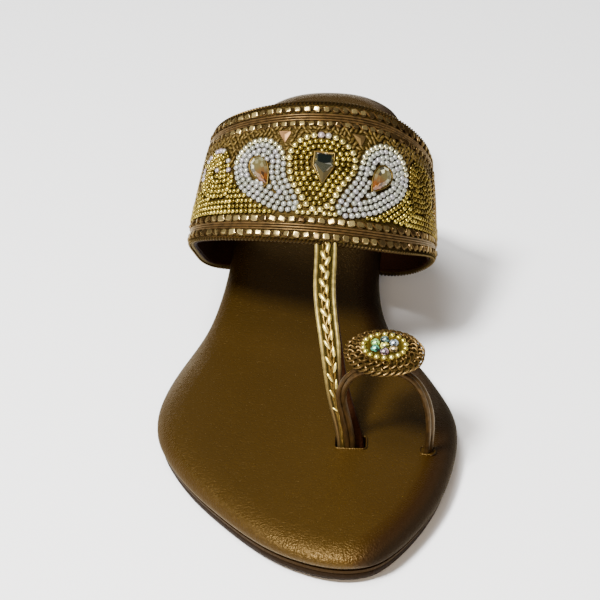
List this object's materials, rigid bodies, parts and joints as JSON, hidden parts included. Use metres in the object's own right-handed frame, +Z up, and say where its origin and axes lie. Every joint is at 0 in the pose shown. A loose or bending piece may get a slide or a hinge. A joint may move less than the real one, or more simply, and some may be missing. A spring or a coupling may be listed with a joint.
{
  "type": "wedge toe-loop sandal",
  "caption": "Women's low wedge sandal with a broad beaded instep band, a T-strap and a jewelled loop for the big toe, on a bronze padded footbed.",
  "frame": {"origin": "on the floor under the middle of the sole's length, on the line through the middle of the heel", "axes": "+X to the big-toe (inner) side of this right shoe, heel towards +Y and toe towards -Y, +Z up"},
  "size_m": [0.0901, 0.2486, 0.0836],
  "materials": {
    "outsole": "matte dark brown rubber",
    "wedge": "smooth bronze leather wrap, satin",
    "footbed": "metallic bronze leather with a fine sparkle, satin",
    "band": "bronze fabric under beads, satin",
    "gold_bead": "light antique gold, glossy",
    "silver_bead": "silvery gold, glossy",
    "bronze_bead": "copper-bronze, glossy",
    "pearl": "white pearl",
    "lavender_pearl": "grey-lavender pearl",
    "piping": "light gold foil leather, satin",
    "lining": "smooth dark brown leather",
    "cord": "rolled brown-bronze leather, satin",
    "thread": "bronze thread",
    "ornament": "bronze cloth under coiled metal beads",
    "iridescent_stone": "iridescent coated stones in yellow, green, blue, peach and lilac",
    "smoky_crystal": "smoky green-grey facets",
    "amber_crystal": "pale amber facets"
  },
  "bodies": {
    "root": {"outsole": "outsole", "wedge": "wedge", "footbed": "footbed", "upper": "band", "toe_loop": "cord", "ornament": "ornament", "kite_crystal": "smoky_crystal", "lateral_crystal": "amber_crystal", "medial_crystal": "amber_crystal", "stone_0": "iridescent_stone", "stone_1": "iridescent_stone", "stone_2": "iridescent_stone", "stone_3": "iridescent_stone", "stone_4": "iridescent_stone", "stone_5": "iridescent_stone", "stone_6": "iridescent_stone"}
  },
  "joints": []
}
